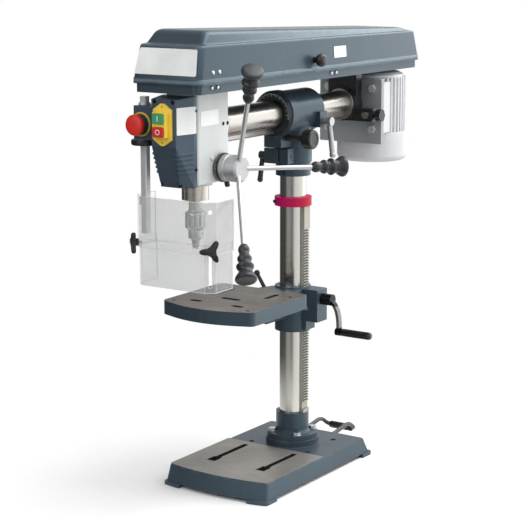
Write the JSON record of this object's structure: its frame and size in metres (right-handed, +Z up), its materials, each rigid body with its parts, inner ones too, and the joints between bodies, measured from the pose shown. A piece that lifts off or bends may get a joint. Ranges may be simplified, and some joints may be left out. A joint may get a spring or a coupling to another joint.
{
  "type": "radial arm drill",
  "caption": "Bench radial arm drill: lifting table on a racked column, swivelling saddle with a sliding ram, tilting belt-driven head with clear guard.",
  "frame": {"origin": "on the column axis at floor level, in the middle of the four hold-down holes", "axes": "+Z up along the column, +X to the operator's right, +Y to the rear, away from the operator"},
  "size_m": [0.3494, 0.9405, 1.0115],
  "materials": {
    "blue_paint": "semi-gloss blue-grey paint on cast iron",
    "blue_sheet": "semi-gloss blue-grey paint on a folded case",
    "pale_paint": "light grey paint on cast iron",
    "motor_paint": "light grey paint on die-cast aluminium",
    "bright_steel": "ground and polished steel",
    "gear_iron": "machined iron",
    "pulley_metal": "turned aluminium",
    "plate_iron": "grey paint on cast iron",
    "dark_plastic": "textured moulded plastic",
    "black_plastic": "black moulded plastic",
    "black_metal": "black paint",
    "belt_rubber": "rubber and cord",
    "red_collar": "crimson paint",
    "yellow_plastic": "yellow moulded plastic",
    "green_button": "green moulded plastic",
    "red_button": "red moulded plastic",
    "clear_sheet": "clear polycarbonate sheet",
    "bar_alloy": "drawn aluminium bar",
    "screw_black": "black oxide"
  },
  "bodies": {
    "base": {"base_casting": "blue_paint", "column_flange": "blue_paint", "flange_bolts": "screw_black", "column": "bright_steel", "rack_collar": "red_collar", "carry_handle": "bright_steel", "carry_handle_grip": "black_plastic"},
    "table_rack": {"table_rack": "bright_steel"},
    "table": {"work_table": "blue_paint"},
    "lift_gear": {"lift_gear": "gear_iron"},
    "crank": {"crank_shaft": "bright_steel", "crank_arm": "black_metal"},
    "crank_grip": {"crank_grip": "black_plastic"},
    "table_clamp": {"table_clamp_lever": "black_metal"},
    "saddle": {"saddle_casting": "blue_paint", "tilt_scale_ring": "bright_steel"},
    "saddle_clamp": {"saddle_clamp_lever": "black_metal"},
    "ram_drive": {"ram_pinion_shaft": "bright_steel", "ram_knob": "black_plastic"},
    "ram_clamp": {"ram_clamp_lever": "bright_steel"},
    "ram_rack": {"ram_rack": "bright_steel"},
    "head": {"ram_tube": "bright_steel", "head_casting": "pale_paint", "front_cover": "dark_plastic", "head_screws": "screw_black", "switch_plate": "yellow_plastic", "estop_box": "dark_plastic", "spring_cap": "dark_plastic", "return_spring": "gear_iron", "belt_tray": "blue_sheet", "ram_end_bracket": "plate_iron", "v_belt": "belt_rubber"},
    "motor": {"slide_rods": "bright_steel", "motor_plate": "plate_iron", "motor_bolts": "bright_steel", "motor_body": "motor_paint", "motor_cowl": "motor_paint"},
    "tension_knob": {"tension_knob": "black_plastic"},
    "rotor": {"motor_rotor": "bright_steel", "motor_pulley": "pulley_metal"},
    "spindle_pulley": {"spindle_pulley": "pulley_metal"},
    "quill": {"quill": "bright_steel", "quill_bearings": "bright_steel"},
    "spindle": {"spindle": "bright_steel", "drill_chuck": "bright_steel"},
    "feed": {"feed_shaft": "bright_steel", "feed_hub": "bar_alloy", "feed_levers": "bright_steel", "feed_grips": "black_plastic", "depth_ring": "black_plastic"},
    "guard": {"guard_rod": "bar_alloy", "guard_upper": "clear_sheet"},
    "shield": {"guard_lower": "clear_sheet"},
    "guard_knob_left": {"guard_knob_left": "black_plastic"},
    "guard_knob_right": {"guard_knob_right": "black_plastic"},
    "lid": {"belt_lid": "blue_sheet", "lid_knob": "black_plastic"},
    "start_button": {"start_button": "green_button"},
    "stop_button": {"stop_button": "red_button"},
    "estop_button": {"estop_button": "red_button"}
  },
  "joints": [
    {"name": "table_swing", "type": "hinge", "parent": "base", "child": "table_rack", "pos_m": [0, 0, 0.36], "axis": [0, 0, 1], "range_deg": [-180, 180]},
    {"name": "table_lift", "type": "slide", "parent": "table_rack", "child": "table", "axis": [0, 0, 1], "range_m": [-0.185, 0.02]},
    {"name": "lift_gear_turn", "type": "hinge", "parent": "table", "child": "lift_gear", "pos_m": [0.0502, 0, 0.368], "axis": [0, 1, 0], "range_deg": [-90, 765]},
    {"name": "crank_turn", "type": "hinge", "parent": "table", "child": "crank", "pos_m": [0.09, 0, 0.39], "axis": [1, 0, 0], "range_deg": [-5310, 600]},
    {"name": "crank_grip_spin", "type": "hinge", "parent": "crank", "child": "crank_grip", "pos_m": [0.17, 0, 0.319], "axis": [1, 0, 0], "continuous": true},
    {"name": "table_clamp_turn", "type": "hinge", "parent": "table", "child": "table_clamp", "pos_m": [-0.049, 0, 0.385], "axis": [0, 1, 0], "range_deg": [-90, 0]},
    {"name": "saddle_swing", "type": "hinge", "parent": "base", "child": "saddle", "pos_m": [0, 0, 0.7], "axis": [0, 0, 1], "range_deg": [-180, 180]},
    {"name": "saddle_clamp_turn", "type": "hinge", "parent": "saddle", "child": "saddle_clamp", "pos_m": [-0.05, -0.05, 0.714], "axis": [1, 0, 0], "range_deg": [0, 90]},
    {"name": "ram_slide", "type": "slide", "parent": "saddle", "child": "ram_rack", "axis": [0, 1, 0], "range_m": [-0.14, 0.205]},
    {"name": "ram_knob_turn", "type": "hinge", "parent": "saddle", "child": "ram_drive", "pos_m": [0.05, -0.058, 0.75835], "axis": [1, 0, 0], "range_deg": [-985, 675]},
    {"name": "ram_clamp_turn", "type": "hinge", "parent": "saddle", "child": "ram_clamp", "pos_m": [0.07, 0.034, 0.789], "axis": [1, 0, 0], "range_deg": [-40, 0]},
    {"name": "head_tilt", "type": "hinge", "parent": "ram_rack", "child": "head", "pos_m": [0, -0.1, 0.811], "axis": [0, 1, 0], "range_deg": [-45, 30]},
    {"name": "motor_slide", "type": "slide", "parent": "head", "child": "motor", "axis": [0, 1, 0], "range_m": [-0.012, 0]},
    {"name": "tension_knob_turn", "type": "hinge", "parent": "head", "child": "tension_knob", "pos_m": [0.09, 0.224, 0.787], "axis": [1, 0, 0], "range_deg": [-180, 0]},
    {"name": "rotor_spin", "type": "hinge", "parent": "motor", "child": "rotor", "pos_m": [0, 0.353, 0.8], "axis": [0, 0, 1], "continuous": true},
    {"name": "pulley_spin", "type": "hinge", "parent": "head", "child": "spindle_pulley", "pos_m": [0, -0.376, 0.9], "axis": [0, 0, 1], "continuous": true},
    {"name": "quill_feed", "type": "slide", "parent": "head", "child": "quill", "axis": [0, 0, -1], "range_m": [0, 0.08], "stiffness_N_per_m": 450, "springref_m": -0.18},
    {"name": "spindle_spin", "type": "hinge", "parent": "quill", "child": "spindle", "pos_m": [0, -0.376, 0.7], "axis": [0, 0, 1], "continuous": true},
    {"name": "feed_turn", "type": "hinge", "parent": "head", "child": "feed", "pos_m": [0.06, -0.341, 0.726], "axis": [1, 0, 0], "range_deg": [-5, 465]},
    {"name": "guard_swing", "type": "hinge", "parent": "head", "child": "guard", "pos_m": [-0.083, -0.436, 0.7], "axis": [0, 0, 1], "range_deg": [-110, 0]},
    {"name": "guard_height", "type": "slide", "parent": "guard", "child": "shield", "axis": [0, 0, 1], "range_m": [0, 0.055]},
    {"name": "guard_knob_left_turn", "type": "hinge", "parent": "guard", "child": "guard_knob_left", "pos_m": [-0.0915, -0.4515, 0.572], "axis": [-0.7071, -0.7071, 0], "range_deg": [-120, 0]},
    {"name": "guard_knob_right_turn", "type": "hinge", "parent": "guard", "child": "guard_knob_right", "pos_m": [0.0915, -0.4515, 0.572], "axis": [0.7071, -0.7071, 0], "range_deg": [-120, 0]},
    {"name": "lid_open", "type": "hinge", "parent": "head", "child": "lid", "pos_m": [-0.09, 0, 0.9113], "axis": [0, -1, 0], "range_deg": [0, 95]},
    {"name": "start_press", "type": "slide", "parent": "head", "child": "start_button", "axis": [0, 1, 0], "range_m": [0, 0.003], "stiffness_N_per_m": 400, "springref_m": -0.002},
    {"name": "stop_press", "type": "slide", "parent": "head", "child": "stop_button", "axis": [0, 1, 0], "range_m": [0, 0.003], "stiffness_N_per_m": 400, "springref_m": -0.002},
    {"name": "estop_press", "type": "slide", "parent": "head", "child": "estop_button", "axis": [0, 1, 0], "range_m": [0, 0.005], "stiffness_N_per_m": 400, "springref_m": -0.003}
  ],
  "couplings": [
    {"joint": "lift_gear_turn", "follows": "table_lift", "rad_per_m": -71.429},
    {"joint": "crank_turn", "follows": "table_lift", "rad_per_m": 500},
    {"joint": "ram_knob_turn", "follows": "ram_slide", "rad_per_m": -83.333},
    {"joint": "pulley_spin", "follows": "rotor_spin", "ratio": 0.70642},
    {"joint": "spindle_spin", "follows": "rotor_spin", "ratio": 0.70642},
    {"joint": "feed_turn", "follows": "quill_feed", "rad_per_m": 100}
  ]
}
